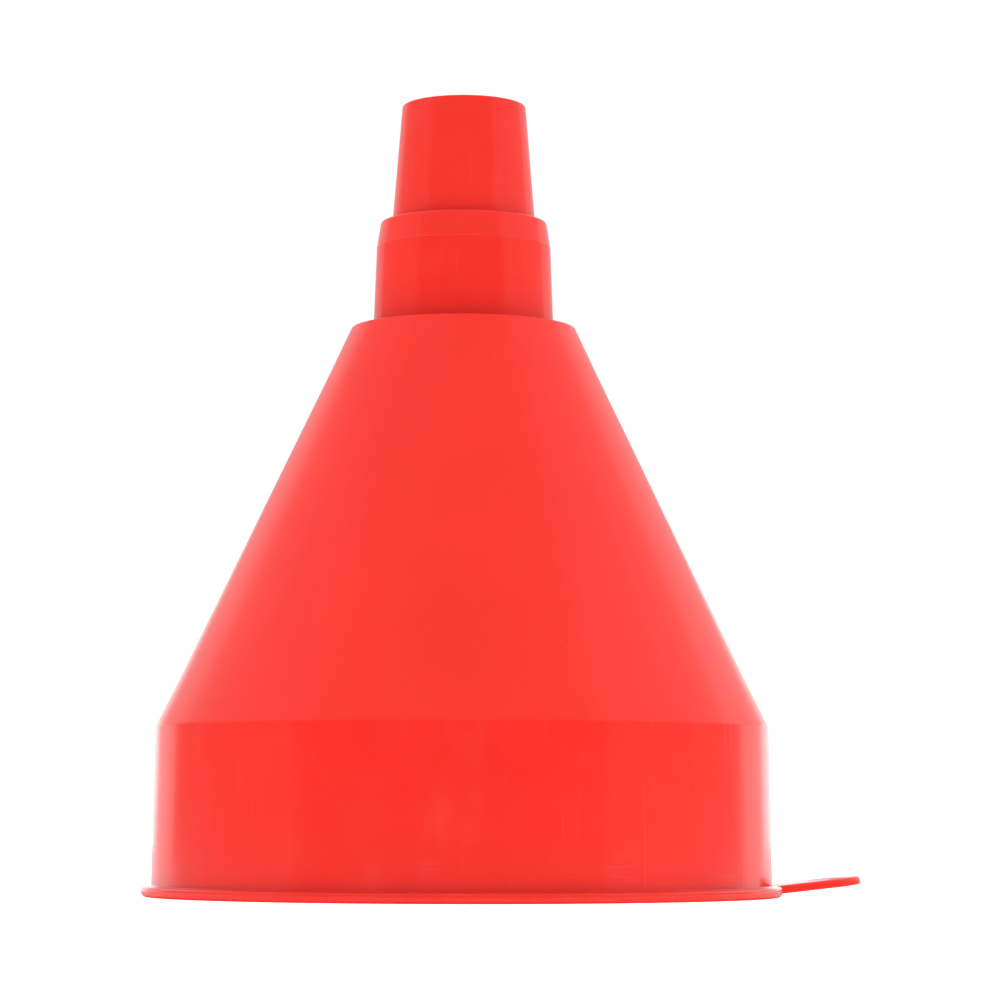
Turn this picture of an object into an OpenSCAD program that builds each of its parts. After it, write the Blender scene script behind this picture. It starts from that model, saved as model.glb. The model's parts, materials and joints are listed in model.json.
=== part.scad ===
// Stepped fluid funnel, standing mouth down on its rim with the outlet up.
// The origin is on the funnel's axis in the plane of the rim, +Z points up to the outlet,
// and +X runs through the middle of the hanging tab.

/* [Splash wall and rim] */
// Outside diameter of the splash wall where it meets the rim
splash_d = 193.4; // [150:0.1:260]
// How much the splash wall's radius shrinks on its way up to the cone
splash_draft = 1; // [0:0.1:3]
// Height at which the splash wall turns into the cone
splash_h = 52.5; // [30:0.5:80]
// Thickness of the hopper's wall
wall = 2.2; // [1.6:0.1:3.5]
// How far the rim stands out past the splash wall
rim_overhang = 3.3; // [3:0.1:8]
// Height of the rim
rim_h = 3.2; // [3.2:0.1:6]
// Radius on the rim's upper edge
rim_top_r = 1.2; // [0.5:0.1:1.2]
// Radius on the rim's lower edge
rim_foot_r = 2; // [0.5:0.1:2]
// Height of the straight land just inside the mouth
mouth_land_h = 6; // [4:0.5:15]

/* [Cone and shoulder] */
// Height of the cone, from the splash wall to the shoulder
cone_h = 126; // [60:1:200]
// Width of the flat shoulder round the foot of the collar
shoulder_w = 6.9; // [4.5:0.1:15]
// Radius on the edge between the splash wall and the cone
cone_foot_r = 1.5; // [0.5:0.1:4]
// Radius on the edge between the cone and the shoulder
shoulder_edge_r = 0.8; // [0.2:0.1:2]

/* [Hanging tab] */
// Width of the tab and of its round end
tab_w = 24; // [16:0.5:40]
// How far the tab reaches past the rim
tab_reach = 27.8; // [20:0.2:50]
// Thickness of the tab
tab_t = 2.6; // [2:0.1:3]
// Height of the tab's middle where it leaves the rim
tab_root_z = 1.7; // [1.6:0.1:2.6]
// Tilt of the tab, with its free end up
tab_tilt = 6.2; // [0:0.2:12]
// Diameter of the hole that the funnel hangs by
tab_hole_d = 8; // [5:0.5:12]

/* [Spout] */
// Outside diameter of the collar at its foot
collar_d = 57; // [46:0.1:80]
// Height of the collar, from shoulder to shoulder
collar_h = 34; // [24:0.5:60]
// Height of the tapered lead-in at the top of the collar
lead_in_h = 8.2; // [3:0.1:12]
// How far the lead-in comes in
lead_in_w = 1.3; // [0.5:0.1:2]
// Width of the flat shoulder between the collar and the tip
step_w = 3.6; // [2.5:0.1:8]
// Length of the outlet tip
tip_len = 37.5; // [20:0.5:80]
// Taper of the outlet tip, on each side
tip_taper = 4.6; // [0:0.1:6]
// Thickness of the spout's wall
spout_wall = 2.2; // [1.6:0.1:3]
// Radius on the spout's outer edges
spout_edge_r = 0.5; // [0.2:0.1:0.8]

/* [Neck] */
// Taper of the push fit between neck and collar, on each side
fit_taper = 2.1; // [0.5:0.1:3]
// Thickness of the neck's wall at its open end
neck_wall = 1.8; // [1.4:0.1:3]
// Radial clearance of the push fit between neck and collar
neck_fit = 0.05; // [0.02:0.01:0.1]
// Gap between the end of the neck and the closed end of the collar
neck_end_gap = 0.5; // [0.3:0.1:2]

/* [Strainer] */
// Radial clearance between the strainer's skirt and the neck's bore
skirt_fit = 0.05; // [0.02:0.01:0.1]
// Length of the skirt that plugs into the neck
skirt_len = 14; // [8:0.5:20]
// Thickness of the skirt
skirt_wall = 1.4; // [1:0.1:2.5]
// Thickness of the frame's flange and of its ribs
flange_t = 2; // [1.5:0.1:3]
// Gap between the flange and the inside of the cone
flange_gap = 0.5; // [0.3:0.1:1.5]
// Number of ribs that back the gauze
rib_count = 6; // [3:1:8]
// Width of each rib
rib_w = 1.6; // [1:0.1:3]
// Thickness of the gauze, over its crossed wires
gauze_t = 0.7; // [0.4:0.1:1]
// Thickness of the clamp ring
ring_t = 1.6; // [1.2:0.1:3]
// How far the clamp ring and the gauze stay inside the flange's edge
ring_inset = 1; // [0.5:0.1:1.5]
// Number of staked pegs
peg_count = 6; // [3:1:10]
// Diameter of a peg
peg_d = 2; // [1.6:0.1:2.4]
// Diameter of a peg's staked head
peg_head_d = 3.4; // [2.8:0.1:3.8]
// Height of a peg's staked head
peg_head_h = 0.8; // [0.5:0.1:1.2]
// Clearance round a peg
peg_gap = 0.1; // [0.05:0.05:0.2]
// Width of the bar that carries the grip across the clamp ring
bar_w = 4; // [3:0.5:6]
// Length of the grip along the bar
grip_len = 16; // [12:1:20]
// How far the grip stands out past the clamp ring
grip_h = 14; // [10:1:20]
// Thickness of the grip
grip_t = 2.4; // [2:0.1:3]
// Radius on the grip's lower corners
grip_corner_r = 4; // [1:0.5:5]

/* [Hidden] */
$fn = 96;
// Number of steps in a quarter turn of a rounded edge
arc_steps = 6;

splash_r = splash_d / 2;
splash_top_r = splash_r - splash_draft;
rim_r = splash_r + rim_overhang;
rim_fillet_r = wall / 4;
mouth_r = splash_r - wall;

collar_r = collar_d / 2;
shoulder_z = splash_h + cone_h;
shoulder_r = collar_r + shoulder_w;
ledge_z = shoulder_z - wall;

// The cone leans in by this angle, and its inner face lies a wall's thickness inside it
cone_angle = atan((splash_top_r - shoulder_r) / cone_h);
cone_inset = wall / cos(cone_angle);
function cone_r(z) = splash_top_r - (z - splash_h) * tan(cone_angle);
function cone_inner_r(z) = cone_r(z) - cone_inset;
function splash_inner_r(z) =
    mouth_r - max(0, z - mouth_land_h) / (splash_h - mouth_land_h) * splash_draft;
// Height at which the inner faces of the splash wall and the cone meet
splash_inner_slope = splash_draft / (splash_h - mouth_land_h);
inner_foot_z = splash_h
    + (cone_inner_r(splash_h) - splash_inner_r(splash_h)) / (tan(cone_angle) - splash_inner_slope);

// Collar and neck share one taper
function collar_outer_r(z) = collar_r - (z - shoulder_z) * tan(fit_taper);
function socket_r(z) = collar_outer_r(z) - spout_wall;
function neck_r(z) = socket_r(z) - neck_fit;
collar_top_z = shoulder_z + collar_h;
lead_in_z = collar_top_z - lead_in_h;
lead_in_top_r = collar_outer_r(lead_in_z) - lead_in_w;
socket_end_z = collar_top_z - spout_wall;
neck_end_z = socket_end_z - neck_end_gap;
neck_bore_r = neck_r(neck_end_z) - neck_wall;

tip_base_r = lead_in_top_r - step_w;
tip_end_r = tip_base_r - tip_len * tan(tip_taper);
tip_end_z = collar_top_z + tip_len;
tip_inset = spout_wall / cos(tip_taper);
tip_bore_base_r = tip_base_r + spout_wall * tan(tip_taper) - tip_inset;
tip_bore_end_r = tip_end_r - tip_inset;

flange_r = cone_inner_r(ledge_z) - flange_gap;
flange_z = ledge_z - flange_t;
skirt_r = neck_bore_r - skirt_fit;
skirt_bore_r = skirt_r - skirt_wall;
gauze_z = flange_z - gauze_t;
ring_z = gauze_z - ring_t;
ring_r = flange_r - ring_inset;
ring_bore_r = skirt_bore_r;
peg_circle_r = (ring_r + ring_bore_r) / 2;
hub_r = bar_w / 2;

tab_end_r = rim_r + tab_reach;
tab_root_r = splash_r - wall / 2;
tab_straight = tab_end_r - tab_w / 2 - tab_root_r;

// Points of an arc about c, from angle a to angle b
function arc(c, r, a, b) =
    [for (i = [0:arc_steps]) let (t = a + (b - a) * i / arc_steps) c + r * [cos(t), sin(t)]];

// Points of a fillet of radius r in the corner at p, between the points before and after it
function unit(v) = v / norm(v);
function fillet(before, p, after, r) =
    let (
        u = unit(before - p),
        v = unit(after - p),
        half = acos(u * v) / 2,
        c = p + unit(u + v) * r / sin(half),
        s = p + u * r / tan(half),
        e = p + v * r / tan(half),
        a = atan2(s.y - c.y, s.x - c.x),
        turn = atan2(e.y - c.y, e.x - c.x) - a
    )
    arc(c, r, a, a + (turn > 180 ? turn - 360 : turn < -180 ? turn + 360 : turn));

function hopper_profile() =
    let (
        rim_top = [rim_r, rim_h],
        rim_root = [splash_r, rim_h],
        foot = [splash_top_r, splash_h],
        edge = [shoulder_r, shoulder_z],
        neck_foot = [neck_r(shoulder_z), shoulder_z]
    )
    concat(
        [[mouth_r, 0]],
        arc([rim_r - rim_foot_r, rim_foot_r], rim_foot_r, -90, 0),
        arc([rim_r - rim_top_r, rim_h - rim_top_r], rim_top_r, 0, 90),
        fillet(rim_top, rim_root, foot, rim_fillet_r),
        fillet(rim_root, foot, edge, cone_foot_r),
        fillet(foot, edge, neck_foot, shoulder_edge_r),
        [neck_foot],
        [[neck_r(neck_end_z), neck_end_z]],
        [[neck_bore_r, neck_end_z]],
        [[neck_bore_r, ledge_z]],
        [[cone_inner_r(ledge_z), ledge_z]],
        [[cone_inner_r(inner_foot_z), inner_foot_z]],
        [[mouth_r, mouth_land_h]]
    );

module tab_frame() {
    translate([tab_root_r, 0, tab_root_z])
        rotate([0, -tab_tilt, 0])
            children();
}

module tab() {
    tab_frame()
        difference() {
            union() {
                translate([0, -tab_w / 2, -tab_t / 2])
                    cube([tab_straight, tab_w, tab_t]);
                translate([tab_straight, 0, -tab_t / 2])
                    cylinder(d = tab_w, h = tab_t);
            }
            translate([tab_straight, 0, -tab_t])
                cylinder(d = tab_hole_d, h = 2 * tab_t);
        }
}

module hopper() {
    color("red")
        union() {
            rotate_extrude()
                polygon(hopper_profile());
            tab();
        }
}

function spout_profile() =
    let (
        lead_in_foot = [collar_outer_r(lead_in_z), lead_in_z],
        lead_in_top = [lead_in_top_r, collar_top_z],
        tip_foot = [tip_base_r, collar_top_z],
        tip_end = [tip_end_r, tip_end_z]
    )
    concat(
        [[socket_r(shoulder_z), shoulder_z]],
        [[collar_r, shoulder_z]],
        [lead_in_foot],
        fillet(lead_in_foot, lead_in_top, tip_foot, spout_edge_r),
        [tip_foot],
        fillet(tip_foot, tip_end, [tip_bore_end_r, tip_end_z], spout_edge_r),
        [[tip_bore_end_r, tip_end_z]],
        [[tip_bore_base_r, socket_end_z]],
        [[socket_r(socket_end_z), socket_end_z]]
    );

module spout() {
    color("red")
        rotate_extrude()
            polygon(spout_profile());
}

// Copies of a child at the places of the staked pegs
module at_pegs() {
    for (i = [0:peg_count - 1])
        rotate([0, 0, (i + 0.5) * 360 / peg_count])
            translate([peg_circle_r, 0, 0])
                children();
}

module strainer_frame() {
    peg_len = flange_z - ring_z;
    color("dimgray")
        union() {
            // Flange and skirt
            difference() {
                union() {
                    translate([0, 0, flange_z])
                        cylinder(r = flange_r, h = flange_t);
                    translate([0, 0, ledge_z])
                        cylinder(r = skirt_r, h = skirt_len);
                }
                translate([0, 0, flange_z - flange_t])
                    cylinder(r = skirt_bore_r, h = skirt_len + 3 * flange_t);
            }
            // Ribs behind the gauze
            for (i = [0:rib_count - 1])
                rotate([0, 0, i * 360 / rib_count])
                    translate([0, -rib_w / 2, flange_z])
                        cube([skirt_bore_r + skirt_wall / 2, rib_w, flange_t]);
            translate([0, 0, flange_z])
                cylinder(r = hub_r, h = flange_t);
            // Pegs, each with its head staked over the clamp ring
            at_pegs() {
                translate([0, 0, ring_z])
                    cylinder(d = peg_d, h = peg_len + flange_t / 2);
                translate([0, 0, ring_z - peg_head_h])
                    cylinder(d1 = peg_d, d2 = peg_head_d, h = peg_head_h);
            }
        }
}

module strainer_gauze() {
    color("goldenrod")
        difference() {
            translate([0, 0, gauze_z])
                cylinder(r = ring_r, h = gauze_t);
            at_pegs()
                translate([0, 0, gauze_z - gauze_t])
                    cylinder(d = peg_d + 2 * peg_gap, h = 3 * gauze_t);
        }
}

// Grip: a plate with round lower corners, which stands on the bar
module grip() {
    corner_x = grip_len / 2 - grip_corner_r;
    translate([0, grip_t / 2, ring_z])
        rotate([90, 0, 0]) {
            translate([-corner_x, -grip_h, 0])
                cube([2 * corner_x, grip_h, grip_t]);
            translate([-grip_len / 2, grip_corner_r - grip_h, 0])
                cube([grip_len, grip_h - grip_corner_r, grip_t]);
            for (x = [-corner_x, corner_x])
                translate([x, grip_corner_r - grip_h, 0])
                    cylinder(r = grip_corner_r, h = grip_t);
        }
}

module strainer_clamp_ring() {
    color("dimgray")
        difference() {
            union() {
                difference() {
                    translate([0, 0, ring_z])
                        cylinder(r = ring_r, h = ring_t);
                    translate([0, 0, ring_z - ring_t])
                        cylinder(r = ring_bore_r, h = 3 * ring_t);
                }
                translate([-ring_bore_r - ring_t, -bar_w / 2, ring_z])
                    cube([2 * (ring_bore_r + ring_t), bar_w, ring_t]);
                grip();
            }
            at_pegs()
                translate([0, 0, ring_z - ring_t])
                    cylinder(d = peg_d + 2 * peg_gap, h = 3 * ring_t);
        }
}

hopper();
spout();
strainer_frame();
strainer_gauze();
strainer_clamp_ring();
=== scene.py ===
# %% [markdown]
# # A stepped workshop funnel, built round its CAD frame
#
# The real thing is a red funnel for fuel and oil. It stands mouth down on its rim, with a short
# outlet spout on top and a plug-in strainer hidden in its neck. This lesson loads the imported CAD
# model as a fixed frame and builds each visible piece round it, in metres, in the same place.

# %% Load the frame
import json
import math

import bpy
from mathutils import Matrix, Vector


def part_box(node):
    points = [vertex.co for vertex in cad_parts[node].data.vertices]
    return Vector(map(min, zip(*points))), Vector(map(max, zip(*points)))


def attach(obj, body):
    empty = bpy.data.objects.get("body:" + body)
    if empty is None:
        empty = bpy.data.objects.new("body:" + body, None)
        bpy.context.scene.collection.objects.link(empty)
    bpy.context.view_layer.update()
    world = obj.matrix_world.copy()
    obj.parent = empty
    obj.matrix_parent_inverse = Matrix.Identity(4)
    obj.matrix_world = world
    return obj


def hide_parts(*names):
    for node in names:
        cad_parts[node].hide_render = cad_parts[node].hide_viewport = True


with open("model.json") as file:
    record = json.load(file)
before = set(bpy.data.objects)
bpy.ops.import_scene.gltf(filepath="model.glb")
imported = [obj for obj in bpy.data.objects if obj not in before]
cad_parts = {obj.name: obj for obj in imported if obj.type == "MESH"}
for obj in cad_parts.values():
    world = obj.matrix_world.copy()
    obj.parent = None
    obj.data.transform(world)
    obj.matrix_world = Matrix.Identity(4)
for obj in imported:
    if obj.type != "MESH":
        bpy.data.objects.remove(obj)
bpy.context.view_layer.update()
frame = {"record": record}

# %% [markdown]
# ## Sizes
#
# A funnel is a turned shape, so nearly all its sizes are a distance from the axis and a height.
# The overall ones are read from the frame's boxes and mounts, so that the pieces land exactly on
# the CAD. The rest, such as wall thicknesses, slopes and the heights of steps, are written under
# names in capitals.

# %% Sizes read from the frame, and named details
MM = 0.001

mounts = {m["name"]: m for m in frame["record"]["mounts"]}
hopper_low, hopper_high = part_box("hopper")
spout_low, spout_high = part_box("spout")
frame_low, frame_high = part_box("strainer_frame")
gauze_low, gauze_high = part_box("strainer_gauze")
clamp_low, clamp_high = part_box("strainer_clamp_ring")

rim_r = -hopper_low.x
neck_top_z = hopper_high.z
mouth_r = mounts["mouth"]["dims"]["r_mm"] * MM
mouth_land_z = mounts["mouth"]["dims"]["length_mm"] * MM
collar_r = spout_high.x
shoulder_z = spout_low.z
tip_top_z = spout_high.z

WALL = 2.2 * MM
NECK_WALL = 1.8 * MM
RIM_H = 3.2 * MM
SPLASH_TOP_Z = 52.5 * MM
SPLASH_DRAFT = 1.0 * MM
SHOULDER_W = 6.9 * MM
TIP_H = 37.5 * MM
LEAD_IN_H = 8.2 * MM
FIT_GAP = 0.05 * MM
FIT_SLOPE = math.tan(math.radians(2.1))
TIP_SLOPE = math.tan(math.radians(4.6))

splash_r = mouth_r + WALL
splash_top_r = splash_r - SPLASH_DRAFT
shoulder_r = collar_r + SHOULDER_W
ledge_z = shoulder_z - WALL
collar_top_z = tip_top_z - TIP_H
lead_in_z = collar_top_z - LEAD_IN_H


def collar_outer_r(z):
    """Outside radius of the collar, whose taper the neck inside it shares."""
    return collar_r - (z - shoulder_z) * FIT_SLOPE


def neck_outer_r(z):
    """Outside radius of the neck."""
    return collar_outer_r(z) - WALL - FIT_GAP


neck_bore_r = neck_outer_r(neck_top_z) - NECK_WALL
cone_slope = (splash_top_r - shoulder_r) / (shoulder_z - SPLASH_TOP_Z)
cone_inset = WALL * math.hypot(1, cone_slope)


def cone_outer_r(z):
    """Outside radius of the cone."""
    return splash_top_r - (z - SPLASH_TOP_Z) * cone_slope


print(f"rim {2 * rim_r / MM:.1f} mm across, {tip_top_z / MM:.1f} mm tall")
print(f"cone goes in {cone_slope:.3f} for each unit up")

# %% [markdown]
# ## Two habits for working by hand in code
#
# Blender's modelling operators act on whatever is selected, in the mode Blender is in. So each
# step starts with nothing selected, picks what it needs by its place, and only then calls the
# operator. The helpers below do that.

# %% Helpers for selecting and editing
def pick(piece, kind="vertices", where=lambda item: True):
    """Selects, in edit mode, just the vertices, edges or faces that where() accepts, and counts them."""
    bpy.ops.object.mode_set(mode="EDIT")
    modes = {"vertices": "VERT", "edges": "EDGE", "polygons": "FACE"}
    bpy.ops.mesh.select_mode(type=modes[kind])
    bpy.ops.mesh.select_all(action="DESELECT")
    bpy.ops.object.mode_set(mode="OBJECT")
    items = getattr(piece.data, kind)
    found = [item for item in items if where(item)]
    for item in found:
        item.select = True
    bpy.ops.object.mode_set(mode="EDIT")
    return len(found)


def place_of(piece, edge):
    """The two ends of an edge."""
    return [piece.data.vertices[i].co for i in edge.vertices]


def edge_length(piece, edge):
    """The length of an edge."""
    a, b = place_of(piece, edge)
    return (a - b).length


def only(piece):
    """Makes a piece the one selected, active object."""
    if bpy.context.object and bpy.context.object.mode != "OBJECT":
        bpy.ops.object.mode_set(mode="OBJECT")
    bpy.ops.object.select_all(action="DESELECT")
    piece.select_set(True)
    bpy.context.view_layer.objects.active = piece


def newest(name):
    """Names the object that an add operator has just made."""
    piece = bpy.context.object
    piece.name = piece.data.name = name
    return piece


def clean(piece):
    """Merges doubles and turns every face outwards."""
    only(piece)
    bpy.ops.object.mode_set(mode="EDIT")
    bpy.ops.mesh.select_all(action="SELECT")
    bpy.ops.mesh.remove_doubles(threshold=0.001 * MM)
    bpy.ops.mesh.normals_make_consistent(inside=False)
    bpy.ops.object.mode_set(mode="OBJECT")


# %% [markdown]
# ## The camera
#
# The view is from low down in front, a little over a metre away through a long lens, and tilted
# up, which is why the flat shoulders are hidden behind their own edges. The tab points to the
# right and a few degrees away from the lens.

# %% Camera
CAMERA_DISTANCE = 1.078
CAMERA_HEIGHT = 0.0252
CAMERA_TURN = math.radians(8.0)
CAMERA_PITCH = math.radians(5.25)
CAMERA_AIM_RIGHT = math.radians(0.63)
CAMERA_ROLL = math.radians(-0.1)

camera_data = bpy.data.cameras.new("camera")
camera_data.sensor_width = 36.0
camera_data.lens = 123.5
camera = bpy.data.objects.new("camera", camera_data)
bpy.context.scene.collection.objects.link(camera)
camera.location = (
    -CAMERA_DISTANCE * math.sin(CAMERA_TURN),
    -CAMERA_DISTANCE * math.cos(CAMERA_TURN),
    CAMERA_HEIGHT,
)
camera.rotation_euler = (
    math.pi / 2 + CAMERA_PITCH,
    CAMERA_ROLL,
    -CAMERA_TURN - CAMERA_AIM_RIGHT,
)
bpy.context.scene.camera = camera
print("camera at", [round(v, 3) for v in camera.location])

# %% [markdown]
# ## The studio
#
# The funnel is lit as in a light tent: a sheet behind it that is brightest near the floor, dimmer
# sheets at its sides, a soft light overhead, and the open front of the tent, which is darker and
# fades up to its pale roof. That is what puts a crisp pale band down each side of a glossy wall
# and leaves its middle a deep, even red. The sheets stand square to the view, so their places are
# given as distances to the right of the funnel, behind it and above the floor. The overhead light
# is hidden from reflections, as a flagged lamp is, so that it draws no white line on every top
# edge.

# %% Softboxes
def in_view(right, behind, height):
    """A place in the room, by its distances to the right of the funnel, behind it and up."""
    return Vector((right * math.cos(CAMERA_TURN) + behind * math.sin(CAMERA_TURN),
                   behind * math.cos(CAMERA_TURN) - right * math.sin(CAMERA_TURN),
                   height))


def softbox(name, place, aim, size, brightness):
    """A rectangular light of a given size in metres and radiance, which faces a point."""
    light = bpy.data.lights.new(name, "AREA")
    light.shape = "RECTANGLE"
    light.size, light.size_y = size
    light.energy = brightness * math.pi * size[0] * size[1]
    lamp = bpy.data.objects.new(name, light)
    bpy.context.scene.collection.objects.link(lamp)
    lamp.location = place
    lamp.rotation_euler = (aim - place).to_track_quat("-Z", "Y").to_euler()
    return lamp


# A row holds a light's name, its middle, the point that it faces, its size and its brightness.
lights = (
    ("back_glow", (0.2, 2.2, 0.2), (0.2, 0, 0.2), (2.5, 0.5), 0.58),
    ("back_foot", (0.5, 2.3, 0.2), (0.5, 0, 0.2), (6.25, 0.6), 0.38),
    ("back_sheet", (0.22, 2.4, 1.5), (0.22, 0, 1.5), (5.95, 3.6), 0.44),
    ("left_sheet", (-2.4, 0.35, 1.4), (0, 0.35, 1.4), (3.3, 3.4), 0.18),
    ("right_sheet", (2.4, 0.15, 1.4), (0, 0.15, 1.4), (3.9, 3.4), 0.26),
    ("overhead", (0, 0.4, 2.3), (0, 0.4, 0), (2.6, 2.4), 4.1),
)
lamps = {
    name: softbox(name, in_view(*middle), in_view(*aim), size, brightness)
    for name, middle, aim, size, brightness in lights
}
lamps["overhead"].visible_glossy = False
print("softboxes:", ", ".join(lamps))


# %% Sky and floor
def add_node(tree, kind, settings=None, **links):
    """Adds a node. settings are its properties. links are its inputs: values, or nodes' outputs."""
    node = tree.nodes.new(kind)
    for key, value in (settings or {}).items():
        setattr(node, key, value)
    for key, value in links.items():
        name = key.replace("_", " ")
        found = [s for s in node.inputs if s.name.lower() == name.lower() and s.enabled]
        socket = found[0] if found else node.inputs[int(key.strip("i"))]
        if isinstance(value, bpy.types.NodeSocket):
            tree.links.new(value, socket)
        else:
            socket.default_value = value
    return node


SEEN_WHITE = 1.05       # what the camera sees behind the funnel
LOW_FRONT = 0.06        # the tent's open front near the floor, as reflections see it
HIGH_FRONT = 0.36       # its pale roof, as reflections see it
FILL = 0.22             # added where the sky lights a surface without a reflection

sky = bpy.data.worlds.new("tent")
bpy.context.scene.world = sky
sky.use_nodes = True
sky_tree = sky.node_tree
sky_tree.nodes.clear()
direction = add_node(sky_tree, "ShaderNodeTexCoord").outputs["Generated"]
upward = add_node(sky_tree, "ShaderNodeSeparateXYZ", Vector=direction).outputs["Z"]
front_level = add_node(sky_tree, "ShaderNodeMapRange", Value=upward,
                       From_Min=0.05, From_Max=0.4, To_Min=LOW_FRONT, To_Max=HIGH_FRONT)
seen = add_node(sky_tree, "ShaderNodeBackground", Color=(1, 1, 1, 1), Strength=SEEN_WHITE)
rays = add_node(sky_tree, "ShaderNodeLightPath")
filled = add_node(sky_tree, "ShaderNodeMath", {"operation": "MULTIPLY_ADD"},
                  i0=rays.outputs["Is Diffuse Ray"], i1=FILL, i2=front_level.outputs[0])
felt = add_node(sky_tree, "ShaderNodeBackground", Color=(1, 1, 1, 1), Strength=filled.outputs[0])
sky_mix = add_node(sky_tree, "ShaderNodeMixShader",
                   i0=rays.outputs["Is Camera Ray"], i1=felt.outputs[0], i2=seen.outputs[0])
add_node(sky_tree, "ShaderNodeOutputWorld", Surface=sky_mix.outputs[0])

bpy.ops.object.select_all(action="DESELECT")
bpy.ops.mesh.primitive_plane_add(size=9.0, location=(0, 0, 0))
floor = newest("floor")
bpy.context.scene.view_settings.view_transform = "Standard"
print("studio: a sky with", len(sky_tree.nodes), "nodes, and a floor")

# %% [markdown]
# ## Drawing an outline and turning it
#
# A potter or a lathe makes such a shape from its outline. Here the outline is drawn point by
# point by extruding one vertex, its corners are rounded with the bevel tool, each by its own
# radius, and the spin tool sweeps it once round the axis. That gives even rings of quads, and
# every rounding is real geometry that catches a highlight.

# %% Helpers that draw and turn an outline
ROUND_STEPS = 5
LONGEST_EDGE = 6 * MM


def near(point, place):
    """True if a vertex is at a place in the outline, given as radius and height."""
    return math.hypot(point.x - place[0], point.z - place[1]) < 0.01 * MM


def start_line(name):
    """One vertex at the origin, selected in edit mode, from which a line can be extruded."""
    bpy.ops.object.select_all(action="DESELECT")
    bpy.ops.mesh.primitive_plane_add(size=MM)
    piece = newest(name)
    bpy.ops.object.mode_set(mode="EDIT")
    bpy.ops.mesh.select_mode(type="VERT")
    bpy.ops.mesh.select_all(action="SELECT")
    bpy.ops.mesh.merge(type="CENTER")
    return piece


def draw_outline(name, corners):
    """Draws a closed outline in the XZ plane. corners are (radius, height, rounding)."""
    piece = start_line(name)
    bpy.ops.transform.translate(value=(corners[0][0], 0, corners[0][1]))
    for (r0, z0, _), (r1, z1, _) in zip(corners, corners[1:]):
        bpy.ops.mesh.extrude_vertices_move(TRANSFORM_OT_translate={"value": (r1 - r0, 0, z1 - z0)})
    ends = (corners[0], corners[-1])
    pick(piece, where=lambda v: any(near(v.co, end) for end in ends))
    bpy.ops.mesh.edge_face_add()
    return piece


def round_corners(piece, corners):
    """Rounds each corner of an outline by its own radius."""
    count = len(corners)
    for i, (r, z, rounding) in enumerate(corners):
        if not rounding:
            continue
        before, after = corners[i - 1], corners[(i + 1) % count]
        u = Vector((before[0] - r, before[1] - z)).normalized()
        v = Vector((after[0] - r, after[1] - z)).normalized()
        half_angle = u.angle(v) / 2
        pick(piece, where=lambda p: near(p.co, (r, z)))
        bpy.ops.mesh.bevel(affect="VERTICES", offset=rounding / math.tan(half_angle),
                           segments=ROUND_STEPS)


def split_long_edges(piece):
    """Cuts each long stretch of an outline into equal steps, so that turned faces are near square."""
    bpy.ops.object.mode_set(mode="OBJECT")
    lengths = sorted({round(edge_length(piece, edge), 6) for edge in piece.data.edges})
    for length in lengths:
        if length > LONGEST_EDGE:
            pick(piece, "edges", lambda e: abs(edge_length(piece, e) - length) < 1e-6)
            bpy.ops.mesh.subdivide(number_cuts=math.ceil(length / LONGEST_EDGE) - 1)


def turn(name, corners, steps=256):
    """A turned piece, from the corners of its outline."""
    piece = draw_outline(name, corners)
    round_corners(piece, corners)
    split_long_edges(piece)
    bpy.ops.object.mode_set(mode="EDIT")
    bpy.ops.mesh.select_mode(type="VERT")
    bpy.ops.mesh.select_all(action="SELECT")
    bpy.ops.mesh.spin(steps=steps, angle=math.tau, center=(0, 0, 0), axis=(0, 0, 1))
    clean(piece)
    print(name, "turned:", len(piece.data.polygons), "faces")
    return piece


# %% [markdown]
# ## Joining and cutting
#
# One moulding is one closed skin, so a lug or a rib isn't just pushed into its neighbour: the two
# are joined with a Boolean modifier, and holes are cut the same way. Weighted normals then keep
# the big faces even up to the edge of each rounding.

# %% Helpers that join, cut and finish
def combine(piece, tool, operation):
    """Joins a tool to a piece, or cuts it away, and removes the tool."""
    only(piece)
    modifier = piece.modifiers.new("combine", "BOOLEAN")
    modifier.object = tool
    modifier.operation = operation
    modifier.solver = "EXACT"
    bpy.ops.object.modifier_apply(modifier=modifier.name)
    bpy.data.objects.remove(tool)


def put(piece, place, turn_by=(0, 0, 0)):
    """Moves a piece into its place, and leaves its object at the origin with the place in its mesh."""
    only(piece)
    piece.location = place
    piece.rotation_euler = turn_by
    bpy.ops.object.transform_apply(location=True, rotation=True, scale=True)


def finish_surface(piece, angle=32):
    """Smooth shading that keeps edges sharper than the angle."""
    only(piece)
    bpy.ops.object.shade_smooth_by_angle(angle=math.radians(angle))
    weigh = piece.modifiers.new("weighted_normals", "WEIGHTED_NORMAL")
    weigh.keep_sharp = True
    bpy.ops.object.modifier_apply(modifier=weigh.name)
    print(piece.name, "finished:", len(piece.data.polygons), "faces")


# %% [markdown]
# ## The hopper
#
# The hopper is one injection moulding: a rim that stiffens the mouth, an upright splash wall, the
# cone, a flat shoulder, and a neck that the spout is pushed on to. Its rim carries the witness
# line where the two halves of the mould met, a ridge a tenth of a millimetre high. The cone's
# wall shrank inwards a little as it cooled, so its side is bowed by nearly half a millimetre,
# which is drawn as one very large rounding.

# %% Turn the hopper
WITNESS_H = 0.1 * MM
WITNESS_HALF_W = 0.12 * MM
WITNESS_Z = 1.9 * MM
rim_body_r = rim_r - WITNESS_H


def cone_inner_r(z):
    """Inside radius of the cone."""
    return cone_outer_r(z) - cone_inset


splash_inner_top_r = splash_top_r - WALL
inner_foot_z = SPLASH_TOP_Z + (WALL - cone_inset) / cone_slope
CONE_BOW = 0.45 * MM
BOW_ROUNDING = 4500 * MM
cone_middle_z = (SPLASH_TOP_Z + shoulder_z) / 2

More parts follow.
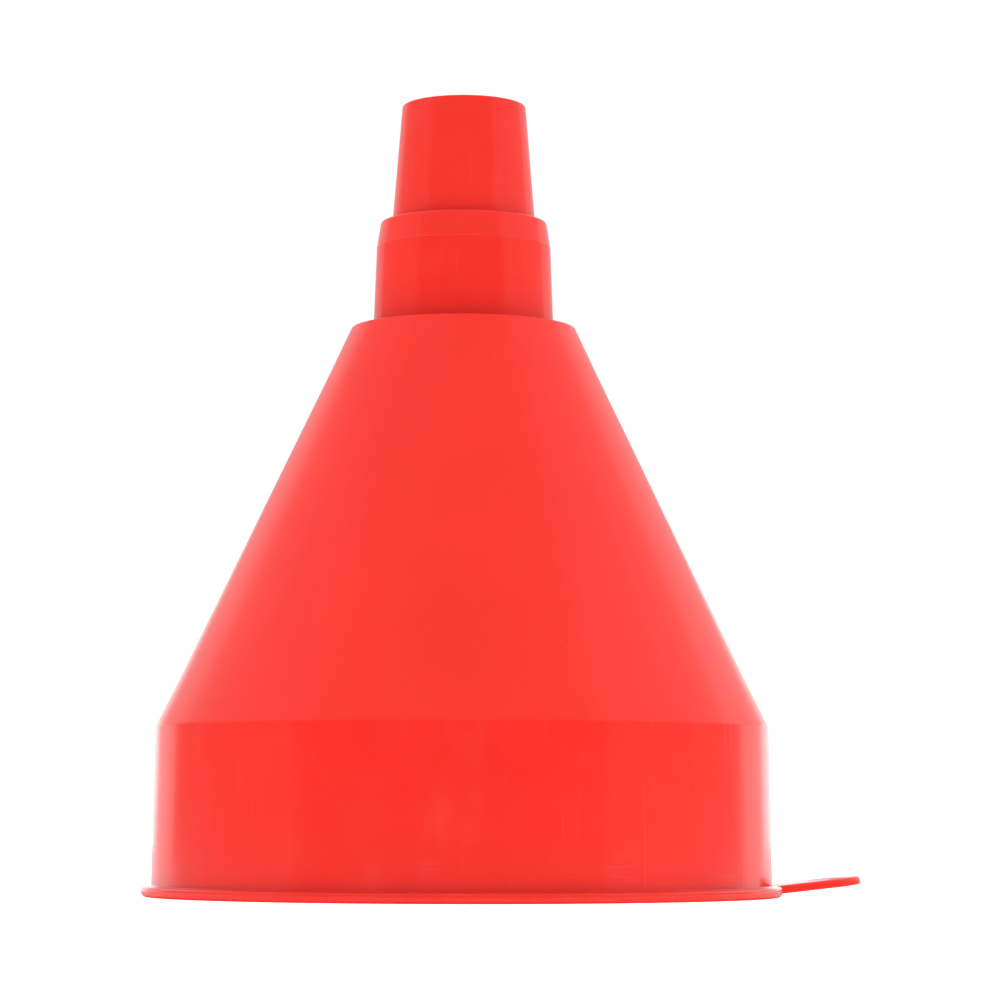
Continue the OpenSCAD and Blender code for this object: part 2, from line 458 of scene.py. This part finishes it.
hopper = turn("hopper_moulding", [
    (mouth_r, 0, 0.5 * MM),
    (rim_body_r, 0, 1.7 * MM),
    (rim_body_r, WITNESS_Z - WITNESS_HALF_W, 0),
    (rim_r, WITNESS_Z, 0),
    (rim_body_r, WITNESS_Z + WITNESS_HALF_W, 0),
    (rim_body_r, RIM_H, 1.1 * MM),
    (splash_r, RIM_H, 0.5 * MM),
    (splash_top_r, SPLASH_TOP_Z, 1.5 * MM),
    (cone_outer_r(cone_middle_z) - 2 * CONE_BOW, cone_middle_z, BOW_ROUNDING),
    (shoulder_r, shoulder_z, 0.3 * MM),
    (neck_outer_r(shoulder_z), shoulder_z, 0.2 * MM),
    (neck_outer_r(neck_top_z), neck_top_z, 0.5 * MM),
    (neck_bore_r, neck_top_z, 0.4 * MM),
    (neck_bore_r, ledge_z, 0.5 * MM),
    (cone_inner_r(ledge_z), ledge_z, 0.3 * MM),
    (cone_inner_r(cone_middle_z) - 2 * CONE_BOW, cone_middle_z, BOW_ROUNDING),
    (splash_inner_top_r, inner_foot_z, 3.0 * MM),
    (mouth_r, mouth_land_z, 0),
])

# %% [markdown]
# ## The hanging tab
#
# The tab is moulded with the rim. It is made flat, as a plate with a full round end and a hole,
# then tilted up and joined to the rim. Its upper edge is well rounded and its lower edge is
# crisp, because the mould parts along its underside.

# %% Make the tab and join it to the rim
TAB_W = 24.0 * MM
TAB_T = 2.6 * MM
TAB_TOP_ROUND = 1.6 * MM
TAB_LOW_ROUND = 0.25 * MM
hole = mounts["hanging_hole"]
hole_place = Vector(hole["pos_m"])
hole_r = hole["dims"]["r_mm"] * MM
tab_tilt = math.atan2(-hole["axis"][0], hole["axis"][2])
tab_root = (hole_place.x - (splash_r - WALL / 2)) / math.cos(tab_tilt)

bpy.ops.object.select_all(action="DESELECT")
bpy.ops.mesh.primitive_cube_add(size=1, location=((TAB_W / 2 - tab_root) / 2, 0, 0),
                                scale=(tab_root + TAB_W / 2, TAB_W, TAB_T))
tab = newest("tab")
put(tab, tab.location)
pick(tab, "edges", lambda e: all(p.x > TAB_W / 4 for p in place_of(tab, e))
     and abs(place_of(tab, e)[0].z - place_of(tab, e)[1].z) > TAB_T / 2)
bpy.ops.mesh.bevel(offset=TAB_W / 2, segments=24)
clean(tab)

bpy.ops.mesh.primitive_cylinder_add(vertices=48, radius=hole_r, depth=4 * TAB_T)
combine(tab, newest("drill"), "DIFFERENCE")


def on_tab_rim(edge, z):
    """True for the outline of the tab's plate at a height, round its free end and its hole."""
    a, b = place_of(tab, edge)
    return abs(a.z - z) < 1e-6 and abs(b.z - z) < 1e-6


for height, rounding in ((TAB_T / 2, TAB_TOP_ROUND), (-TAB_T / 2, TAB_LOW_ROUND)):
    found = pick(tab, "edges", lambda e: on_tab_rim(e, height))
    bpy.ops.mesh.bevel(offset=rounding, segments=4)
    print("tab edges rounded:", found)
clean(tab)
put(tab, hole_place, (0, -tab_tilt, 0))
combine(hopper, tab, "UNION")
finish_surface(hopper)

# %% [markdown]
# ## The spout
#
# The spout is a second moulding. Its wide collar is pushed over the neck, and its tip goes into
# the filler hole. Both are plain turned shapes, but their corners differ: the collar's top corner
# has the largest rounding, and the corner at the foot of the tip is the crispest. Two inserts of
# the mould met where the lead-in starts, and left a fine raised line round it.

# %% Turn the spout
LEAD_IN_DEPTH = 1.3 * MM
TIP_SHOULDER_W = 3.6 * MM
lead_in_top_r = collar_outer_r(lead_in_z) - LEAD_IN_DEPTH
tip_base_r = lead_in_top_r - TIP_SHOULDER_W
tip_end_r = tip_base_r - (tip_top_z - collar_top_z) * TIP_SLOPE
tip_inset = WALL * math.hypot(1, TIP_SLOPE)
socket_end_z = collar_top_z - WALL

CREASE_H = 0.08 * MM
CREASE_HALF_W = 0.25 * MM
crease_low_z = lead_in_z - CREASE_HALF_W
crease_high_z = lead_in_z + CREASE_HALF_W


def lead_in_r(z):
    """Outside radius of the lead-in."""
    return collar_outer_r(lead_in_z) - (z - lead_in_z) * LEAD_IN_DEPTH / LEAD_IN_H


spout = turn("spout_moulding", [
    (collar_r - WALL, shoulder_z, 0.6 * MM),
    (collar_r, shoulder_z, 0.5 * MM),
    (collar_outer_r(crease_low_z), crease_low_z, 0),
    (collar_outer_r(lead_in_z) + CREASE_H, lead_in_z, 0),
    (lead_in_r(crease_high_z), crease_high_z, 0),
    (lead_in_top_r, collar_top_z, 0.8 * MM),
    (tip_base_r, collar_top_z, 0.3 * MM),
    (tip_end_r, tip_top_z, 0.6 * MM),
    (tip_end_r - tip_inset, tip_top_z, 0.4 * MM),
    (tip_base_r + WALL * TIP_SLOPE - tip_inset, socket_end_z, 0.5 * MM),
    (collar_outer_r(socket_end_z) - WALL, socket_end_z, 0.4 * MM),
])
finish_surface(spout)

# %% [markdown]
# ## The strainer's frame
#
# Inside the neck sits a plug-in strainer. Its frame is a flange with a skirt that plugs into the
# neck, six ribs that back the gauze, and six pegs. The pegs pass through the gauze and the clamp
# ring, and their ends are melted over into small domes: that is what holds the strainer together.

# %% Sizes of the strainer
flange_r = frame_high.x
flange_z = gauze_high.z
SKIRT_WALL = 1.4 * MM
RING_T = 1.6 * MM
skirt_r = neck_bore_r - FIT_GAP
skirt_bore_r = skirt_r - SKIRT_WALL
skirt_top_z = frame_high.z
ring_z = clamp_high.z - RING_T
ring_r = clamp_high.x
RIB_W = 1.6 * MM
PEG_R = 1.0 * MM
PEG_HEAD_R = 1.7 * MM
PEG_GAP = 0.1 * MM
BAR_W = 4.0 * MM
RIB_COUNT = PEG_COUNT = 6
peg_circle_r = (ring_r + skirt_bore_r) / 2
peg_places = [
    (peg_circle_r * math.cos(angle), peg_circle_r * math.sin(angle))
    for angle in ((i + 0.5) * math.tau / PEG_COUNT for i in range(PEG_COUNT))
]
print(f"strainer: flange {2 * flange_r / MM:.1f} mm, skirt {2 * skirt_r / MM:.1f} mm, {PEG_COUNT} pegs")


# %% Helpers for small blocks and pins
def block(name, low, high, rounding):
    """A box from its low to its high corner, with all its edges rounded."""
    low, high = Vector(low), Vector(high)
    bpy.ops.object.select_all(action="DESELECT")
    bpy.ops.mesh.primitive_cube_add(size=1, location=(low + high) / 2, scale=high - low)
    piece = newest(name)
    put(piece, piece.location)
    bpy.ops.object.mode_set(mode="EDIT")
    bpy.ops.mesh.select_all(action="SELECT")
    bpy.ops.mesh.bevel(offset=rounding, segments=2)
    bpy.ops.object.mode_set(mode="OBJECT")
    return piece


def pin(name, place, radius, low, high, sides=24):
    """An upright cylinder."""
    bpy.ops.object.select_all(action="DESELECT")
    bpy.ops.mesh.primitive_cylinder_add(vertices=sides, radius=radius, depth=high - low,
                                        location=(place[0], place[1], (low + high) / 2))
    piece = newest(name)
    put(piece, piece.location)
    return piece


# %% Turn the flange and skirt, and join the ribs
strainer_frame = turn("strainer_frame_moulding", [
    (skirt_bore_r, flange_z, 0.3 * MM),
    (flange_r, flange_z, 0.4 * MM),
    (flange_r, ledge_z, 0.4 * MM),
    (skirt_r, ledge_z, 0.2 * MM),
    (skirt_r, skirt_top_z - 1.5 * MM, 0.5 * MM),
    (skirt_r - 0.6 * MM, skirt_top_z, 0.3 * MM),
    (skirt_bore_r, skirt_top_z, 0.3 * MM),
], steps=128)

RIB_SINK = 0.06 * MM
HUB_SINK = 0.03 * MM
RIB_OVERLAP = 0.7 * MM
rib_reach = skirt_bore_r + RIB_OVERLAP
for i in range(RIB_COUNT // 2):
    rib = block("rib", (-rib_reach, -RIB_W / 2, flange_z + RIB_SINK),
                (rib_reach, RIB_W / 2, ledge_z - RIB_SINK), 0.25 * MM)
    put(rib, (0, 0, 0), (0, 0, i * math.tau / RIB_COUNT))
    combine(strainer_frame, rib, "UNION")
hub = pin("hub", (0, 0), BAR_W / 2, flange_z + HUB_SINK, ledge_z - HUB_SINK)
combine(strainer_frame, hub, "UNION")


# %% Stake the pegs
PEG_IN_HEAD = 0.3 * MM
PEG_IN_FLANGE = 1.0 * MM
PEG_HEAD_ROUND = 0.65 * MM

for place in peg_places:
    peg = pin("peg", place, PEG_R, ring_z - PEG_IN_HEAD, flange_z + PEG_IN_FLANGE)
    combine(strainer_frame, peg, "UNION")
    head = pin("peg_head", place, PEG_HEAD_R, frame_low.z, ring_z, sides=20)
    pick(head, "polygons", lambda f: f.normal.z < -0.9)
    bpy.ops.mesh.bevel(offset=PEG_HEAD_ROUND, segments=4)
    combine(strainer_frame, head, "UNION")
finish_surface(strainer_frame)

# %% [markdown]
# ## The gauze
#
# The gauze is plain-woven brass wire cloth: each wire passes over one crossing wire and under the
# next. A flat disc with a picture of a weave wouldn't glint like it, so the wires are real. One
# wave of a wire is drawn, an array repeats it to each wire's length, and the bevel of a curve
# gives it its round section. The cloth is about twice as coarse as a fuel strainer's, so that its
# holes can be told apart from below.

# %% Weave the gauze
PITCH = 1.2 * MM
WIRE_R = 0.17 * MM
CRIMP = 0.18 * MM
SELVEDGE = 0.5 * MM
gauze_r = gauze_high.x - SELVEDGE
gauze_mid_z = (gauze_low.z + gauze_high.z) / 2


def draw_wave():
    """One wave of a wire, two pitches long."""
    wave = start_line("wave")
    for rise in (1, -1, -1, 1):
        bpy.ops.mesh.extrude_vertices_move(
            TRANSFORM_OT_translate={"value": (PITCH / 2, 0, rise * CRIMP)})
    bpy.ops.object.mode_set(mode="OBJECT")
    return wave


def copy_of(piece):
    """A copy with its own mesh, selected and active."""
    only(piece)
    bpy.ops.object.duplicate(linked=False)
    return bpy.context.object


def join(pieces):
    """Joins pieces into the first one."""
    only(pieces[0])
    for piece in pieces[1:]:
        piece.select_set(True)
    bpy.ops.object.join()
    return pieces[0]


wave = draw_wave()
wires = []
for k in range(-int(gauze_r / PITCH), int(gauze_r / PITCH)):
    off_centre = (k + 0.5) * PITCH
    waves = int(math.sqrt(gauze_r ** 2 - off_centre ** 2) / (2 * PITCH))
    if not waves:
        continue
    wire = copy_of(wave)
    array = wire.modifiers.new("length", "ARRAY")
    array.count = 2 * waves
    array.relative_offset_displace = (1, 0, 0)
    array.use_merge_vertices = True
    array.merge_threshold = 0.01 * MM
    bpy.ops.object.modifier_apply(modifier=array.name)
    put(wire, (-2 * waves * PITCH, off_centre, 0), (math.pi * (k % 2), 0, 0))
    wires.append(wire)
bpy.data.objects.remove(wave)
warp = join(wires)
weft = copy_of(warp)
put(weft, (0, 0, 0), (math.pi, 0, math.pi / 2))
join([warp, weft])

bpy.ops.object.convert(target="CURVE")
gauze = bpy.context.object
gauze.data.bevel_depth = WIRE_R
gauze.data.bevel_resolution = 1
gauze.data.use_fill_caps = True
bpy.ops.object.convert(target="MESH")
gauze = newest("strainer_gauze_cloth")
put(gauze, (0, 0, gauze_mid_z))
clean(gauze)
finish_surface(gauze, angle=60)

# %% [markdown]
# ## The clamp ring
#
# The clamp ring presses the gauze against the flange. A bar crosses it with an upright grip, so
# that two fingers can pull the strainer down out of the neck.

# %% Make the clamp ring, its bar and its grip
GRIP_LEN = 16.0 * MM
GRIP_T = 2.4 * MM
GRIP_CORNER = 4.0 * MM
GRIP_IN_RING = 1.0 * MM
BAR_OVERLAP = 1.6 * MM
BAR_SINK = 0.05 * MM

clamp_ring = turn("strainer_clamp_ring_moulding", [
    (skirt_bore_r, ring_z, 0.3 * MM),
    (ring_r, ring_z, 0.4 * MM),
    (ring_r, clamp_high.z, 0.2 * MM),
    (skirt_bore_r, clamp_high.z, 0.2 * MM),
], steps=128)

bar_reach = skirt_bore_r + BAR_OVERLAP
bar = block("bar", (-bar_reach, -BAR_W / 2, ring_z + BAR_SINK),
            (bar_reach, BAR_W / 2, clamp_high.z - BAR_SINK), 0.3 * MM)
combine(clamp_ring, bar, "UNION")

grip_top_z = ring_z + GRIP_IN_RING
bpy.ops.object.select_all(action="DESELECT")
bpy.ops.mesh.primitive_cube_add(size=1, location=(0, 0, (clamp_low.z + grip_top_z) / 2),
                                scale=(GRIP_LEN, GRIP_T, grip_top_z - clamp_low.z))
grip = newest("grip")
put(grip, grip.location)
pick(grip, "edges", lambda e: all(p.z < clamp_low.z + MM for p in place_of(grip, e))
     and abs(place_of(grip, e)[0].x - place_of(grip, e)[1].x) < MM)
bpy.ops.mesh.bevel(offset=GRIP_CORNER, segments=8)
for side in (-1, 1):
    pick(grip, "polygons", lambda f: f.normal.y * side > 0.9)
    bpy.ops.mesh.bevel(offset=0.5 * MM, segments=3)
bpy.ops.object.mode_set(mode="OBJECT")
combine(clamp_ring, grip, "UNION")
for place in peg_places:
    peg_hole = pin("peg_hole", place, PEG_R + PEG_GAP, ring_z - MM, clamp_high.z + MM)
    combine(clamp_ring, peg_hole, "DIFFERENCE")
finish_surface(clamp_ring)

# %% [markdown]
# ## Colours and textures
#
# Colours are written as sRGB hex, as in a paint program, and turned to the linear values that
# Blender mixes in. Patterns read Object coordinates. The pieces sit at the origin in metres, so a
# grain of g millimetres needs a noise scale of 1000 / g.

# %% Helpers for materials
def linear(hex_colour):
    """An sRGB hex colour as linear RGBA."""
    channels = [int(hex_colour[i:i + 2], 16) / 255 for i in (1, 3, 5)]
    return [c / 12.92 if c <= 0.04045 else ((c + 0.055) / 1.055) ** 2.4 for c in channels] + [1]


def grain_scale(millimetres):
    """The scale of a texture whose features are about this far apart."""
    return 1 / (millimetres * MM)


def new_material(name):
    """An empty material, its node tree, and the coordinates that its patterns read."""
    material = bpy.data.materials.new(name)
    material.use_nodes = True
    tree = material.node_tree
    tree.nodes.clear()
    return material, tree, add_node(tree, "ShaderNodeTexCoord").outputs["Object"]


def wear(piece, material):
    """Makes a material the only one on a piece."""
    piece.data.materials.clear()
    piece.data.materials.append(material)


# %% [markdown]
# ## Moulded red polyethylene
#
# Fuel funnels are injection moulded in high-density polyethylene, coloured with red pigment. The
# mould's wall is polished where the splash wall, the rim and the spout form, so they are glossy.
# The cone left a duller part of the mould, so its highlights are softer. The gloss is never a
# mirror: the plastic shrinks as it cools, which leaves a faint waviness and a fine orange peel.
# The pigment isn't mixed perfectly, so the red drifts a little along the flow, with a few pale
# specks of dust under the skin. Polyethylene is slightly translucent, which warms its edges. It
# is soft, too, so it carries three kinds of mark, all paler and duller than the clean plastic:
# upright lines drawn as it leaves the mould, level rub marks from handling, and smears.

# %% Moulded red polyethylene: its colour
RED = "#E4281D"
RED_DEEP = "#E0261B"
SPECK = "#F0857C"

polyethylene, tree, here = new_material("moulded_red_polyethylene")
flow = add_node(tree, "ShaderNodeTexNoise", Vector=here, Scale=grain_scale(34), Detail=3.0)
flow_level = add_node(tree, "ShaderNodeMapRange", Value=flow.outputs[0],
                      From_Min=0.35, From_Max=0.65)
red = add_node(tree, "ShaderNodeMix", {"data_type": "RGBA"},
               Factor=flow_level.outputs[0], A=linear(RED_DEEP), B=linear(RED))
dust = add_node(tree, "ShaderNodeTexVoronoi", Vector=here, Scale=grain_scale(8))
dust_spot = add_node(tree, "ShaderNodeMapRange", Value=dust.outputs["Distance"],
                     From_Min=0.01, From_Max=0.025, To_Min=0.35, To_Max=0.0)
specked = add_node(tree, "ShaderNodeMix", {"data_type": "RGBA"},
                   Factor=dust_spot.outputs[0], A=red.outputs["Result"], B=linear(SPECK))
print("colour:", RED, "to", RED_DEEP)

# %% Moulded red polyethylene: glossy walls and a duller cone
GLOSS_ROUGHNESS = 0.16
CONE_ROUGHNESS = 0.24
HAZE = 0.015

height_here = add_node(tree, "ShaderNodeSeparateXYZ", Vector=here).outputs["Z"]
above_wall = add_node(tree, "ShaderNodeMapRange", {"interpolation_type": "SMOOTHSTEP"},
                      Value=height_here, From_Min=SPLASH_TOP_Z - 0.5 * MM,
                      From_Max=SPLASH_TOP_Z + 1.5 * MM)
below_shoulder = add_node(tree, "ShaderNodeMapRange", {"interpolation_type": "SMOOTHSTEP"},
                          Value=height_here, From_Min=shoulder_z - 2 * MM, From_Max=shoulder_z,
                          To_Min=1.0, To_Max=0.0)
on_cone = add_node(tree, "ShaderNodeMath", {"operation": "MULTIPLY"},
                   i0=above_wall.outputs[0], i1=below_shoulder.outputs[0])
haze = add_node(tree, "ShaderNodeTexNoise", Vector=here, Scale=grain_scale(9), Detail=4.0)
haze_level = add_node(tree, "ShaderNodeMapRange", Value=haze.outputs[0],
                      From_Min=0.3, From_Max=0.7, To_Min=-HAZE, To_Max=HAZE)
finish_level = add_node(tree, "ShaderNodeMapRange", Value=on_cone.outputs[0],
                        To_Min=GLOSS_ROUGHNESS, To_Max=CONE_ROUGHNESS)
roughness = add_node(tree, "ShaderNodeMath", {"operation": "ADD"},
                     i0=finish_level.outputs[0], i1=haze_level.outputs[0])
print("roughness:", GLOSS_ROUGHNESS, "on the walls,", CONE_ROUGHNESS, "on the cone")

# %% Moulded red polyethylene: marks from the mould and from handling
RUBBED_RED = "#F4857B"
MARK_STRENGTH = 0.09      # how much of the rubbed red shows in a mark
MARK_ROUGHNESS = 0.08     # how much rougher a mark is
SMEAR_SHARE = 0.35        # a smear's strength beside the other marks'
CONE_CLEANNESS = 0.85     # how much of every mark the duller cone hides


def streaks(stretch, grain, low, high):
    """A pattern of marks: a noise stretched along some axes, of which only the peaks are kept."""
    place = add_node(tree, "ShaderNodeMapping", Vector=here, Scale=stretch)
    marks = add_node(tree, "ShaderNodeTexNoise", Vector=place.outputs[0],
                     Scale=grain_scale(grain), Detail=3.0)
    kept = add_node(tree, "ShaderNodeMapRange", Value=marks.outputs[0], From_Min=low, From_Max=high)
    return kept.outputs[0]


def times(a, b):
    """The product of two patterns, or of a pattern and a number."""
    return add_node(tree, "ShaderNodeMath", {"operation": "MULTIPLY"}, i0=a, i1=b).outputs[0]


def larger(a, b):
    """The larger of two patterns."""
    return add_node(tree, "ShaderNodeMath", {"operation": "MAXIMUM"}, i0=a, i1=b).outputs[0]


foot = add_node(tree, "ShaderNodeMapRange", Value=height_here, From_Min=9 * MM, From_Max=18 * MM,
                To_Min=1.0, To_Max=0.2).outputs[0]
clean_cone = add_node(tree, "ShaderNodeMath", {"operation": "MULTIPLY_ADD"},
                      i0=on_cone.outputs[0], i1=-CONE_CLEANNESS, i2=1.0).outputs[0]
draw_marks = streaks((1, 1, 0.02), 1.6, 0.64, 0.80)
level_scratches = streaks((0.05, 0.05, 1), 0.8, 0.50, 0.75)
rubbed_patches = streaks((1, 1, 1), 18, 0.46, 0.66)
rub_marks = times(times(level_scratches, rubbed_patches), foot)
smears = times(streaks((1, 1, 0.6), 11, 0.58, 0.80), SMEAR_SHARE)
wear_level = times(larger(larger(draw_marks, rub_marks), smears), clean_cone)
scuffed = add_node(tree, "ShaderNodeMix", {"data_type": "RGBA"},
                   Factor=times(wear_level, MARK_STRENGTH),
                   A=specked.outputs["Result"], B=linear(RUBBED_RED))
worn_roughness = add_node(tree, "ShaderNodeMath", {"operation": "MULTIPLY_ADD"},
                          i0=wear_level, i1=MARK_ROUGHNESS, i2=roughness.outputs[0])
print("marks: lines from the mould, level rub marks and smears")

# %% Moulded red polyethylene: its skin
sink = add_node(tree, "ShaderNodeTexNoise", Vector=here, Scale=grain_scale(16), Detail=1.0)
waviness = add_node(tree, "ShaderNodeBump", Height=sink.outputs[0], Strength=1.0, Distance=0.03 * MM)
peel = add_node(tree, "ShaderNodeTexNoise", Vector=here, Scale=grain_scale(0.9), Detail=2.0)
orange_peel = add_node(tree, "ShaderNodeBump", Height=peel.outputs[0], Strength=1.0,
                       Distance=0.004 * MM, Normal=waviness.outputs[0])
skin = add_node(tree, "ShaderNodeBsdfPrincipled", Base_Color=scuffed.outputs["Result"],
                Roughness=worn_roughness.outputs[0], IOR=1.54, Normal=orange_peel.outputs[0],
                Subsurface_Weight=0.08, Subsurface_Radius=(1.0, 0.25, 0.2), Subsurface_Scale=2 * MM)
add_node(tree, "ShaderNodeOutputMaterial", Surface=skin.outputs[0])
for piece in (hopper, spout):
    wear(piece, polyethylene)
print(polyethylene.name, "with", len(tree.nodes), "nodes")

# %% [markdown]
# ## Moulded black polypropylene
#
# The strainer's frame and clamp ring are black polypropylene from a spark-eroded mould: an even,
# fine grain that scatters the light, with slightly shinier patches where handling has rubbed it.

# %% Material: moulded black polypropylene
polypropylene, tree, here = new_material("moulded_black_polypropylene")
tone = add_node(tree, "ShaderNodeTexNoise", Vector=here, Scale=grain_scale(7), Detail=3.0)
black = add_node(tree, "ShaderNodeMix", {"data_type": "RGBA"},
                 Factor=tone.outputs[0], A=linear("#17181A"), B=linear("#26272A"))
rubbed = add_node(tree, "ShaderNodeMapRange", Value=tone.outputs[0],
                  From_Min=0.35, From_Max=0.65, To_Min=0.40, To_Max=0.52)
spark_grain = add_node(tree, "ShaderNodeTexNoise", Vector=here, Scale=grain_scale(0.35), Detail=2.0)
grain_bump = add_node(tree, "ShaderNodeBump", Height=spark_grain.outputs[0], Strength=1.0,
                      Distance=0.03 * MM)
skin = add_node(tree, "ShaderNodeBsdfPrincipled", Base_Color=black.outputs["Result"],
                Roughness=rubbed.outputs[0], IOR=1.49, Normal=grain_bump.outputs[0])
add_node(tree, "ShaderNodeOutputMaterial", Surface=skin.outputs[0])
for piece in (strainer_frame, clamp_ring):
    wear(piece, polypropylene)
print(polypropylene.name, "with", len(tree.nodes), "nodes")

# %% [markdown]
# ## Drawn brass wire
#
# Drawn wire is smooth, with fine marks from the die, and brass that has met fuel is tarnished
# brown in patches, which are duller than the clean wire.

# %% Material: drawn brass wire
brass, tree, here = new_material("woven_brass_wire")
tarnish = add_node(tree, "ShaderNodeTexNoise", Vector=here, Scale=grain_scale(6), Detail=5.0)
patches = add_node(tree, "ShaderNodeMapRange", Value=tarnish.outputs[0],
                   From_Min=0.42, From_Max=0.68)
metal = add_node(tree, "ShaderNodeMix", {"data_type": "RGBA"},
                 Factor=patches.outputs[0], A=linear("#D9B45A"), B=linear("#8F6B33"))
dulled = add_node(tree, "ShaderNodeMapRange", Value=patches.outputs[0], To_Min=0.26, To_Max=0.48)
drawn = add_node(tree, "ShaderNodeTexNoise", Vector=here, Scale=grain_scale(0.12), Detail=1.0)
lines = add_node(tree, "ShaderNodeBump", Height=drawn.outputs[0], Strength=1.0, Distance=0.005 * MM)
skin = add_node(tree, "ShaderNodeBsdfPrincipled", Base_Color=metal.outputs["Result"], Metallic=1.0,
                Roughness=dulled.outputs[0], Normal=lines.outputs[0])
add_node(tree, "ShaderNodeOutputMaterial", Surface=skin.outputs[0])
wear(gauze, brass)
print(brass.name, "with", len(tree.nodes), "nodes")

# %% [markdown]
# ## The floor
#
# The funnel stands on a white sheet that is lit from underneath, so the sheet glows as well as
# taking the light from above, and the rim's shadow is washed out. Reflections see the sheet darker
# and without its glow, or the foot of the glossy wall would turn white. Seen from below the sheet
# is left out, so that the inside of the funnel can be looked into.

# %% Material: white sheet
FLOOR_GLOW = 0.8
sheet, tree, here = new_material("white_sheet")
seen_in_gloss = add_node(tree, "ShaderNodeLightPath").outputs["Is Glossy Ray"]
paper_colour = add_node(tree, "ShaderNodeMix", {"data_type": "RGBA"}, Factor=seen_in_gloss,
                        A=linear("#E8E8E8"), B=linear("#C0C0C0"))
paper = add_node(tree, "ShaderNodeBsdfDiffuse", Color=paper_colour.outputs["Result"])
floor_level = add_node(tree, "ShaderNodeMath", {"operation": "MULTIPLY_ADD"},
                       i0=seen_in_gloss, i1=-FLOOR_GLOW, i2=FLOOR_GLOW)
glow = add_node(tree, "ShaderNodeEmission", Color=(1, 1, 1, 1), Strength=floor_level.outputs[0])
lit = add_node(tree, "ShaderNodeAddShader", i0=paper.outputs[0], i1=glow.outputs[0])
clear = add_node(tree, "ShaderNodeBsdfTransparent")
below = add_node(tree, "ShaderNodeNewGeometry").outputs["Backfacing"]
one_sided = add_node(tree, "ShaderNodeMixShader", i0=below, i1=lit.outputs[0], i2=clear.outputs[0])
add_node(tree, "ShaderNodeOutputMaterial", Surface=one_sided.outputs[0])
wear(floor, sheet)
print(sheet.name, "with", len(tree.nodes), "nodes")

# %% [markdown]
# ## What rides on what
#
# Each piece moves with its CAD body and stands for its CAD node: the spout pulls off upwards, and
# the strainer's three pieces come out of the mouth together.

# %% Ride and replace
for piece, body, node, slot in (
    (hopper, "hopper", "hopper", "funnel_plastic"),
    (spout, "spout", "spout", "funnel_plastic"),
    (strainer_frame, "strainer", "strainer_frame", "strainer_plastic"),
    (gauze, "strainer", "strainer_gauze", "brass_gauze"),
    (clamp_ring, "strainer", "strainer_clamp_ring", "strainer_plastic"),
):
    only(piece)
    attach(piece, body)
    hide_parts(node)
    print(piece.name, "rides on", body)
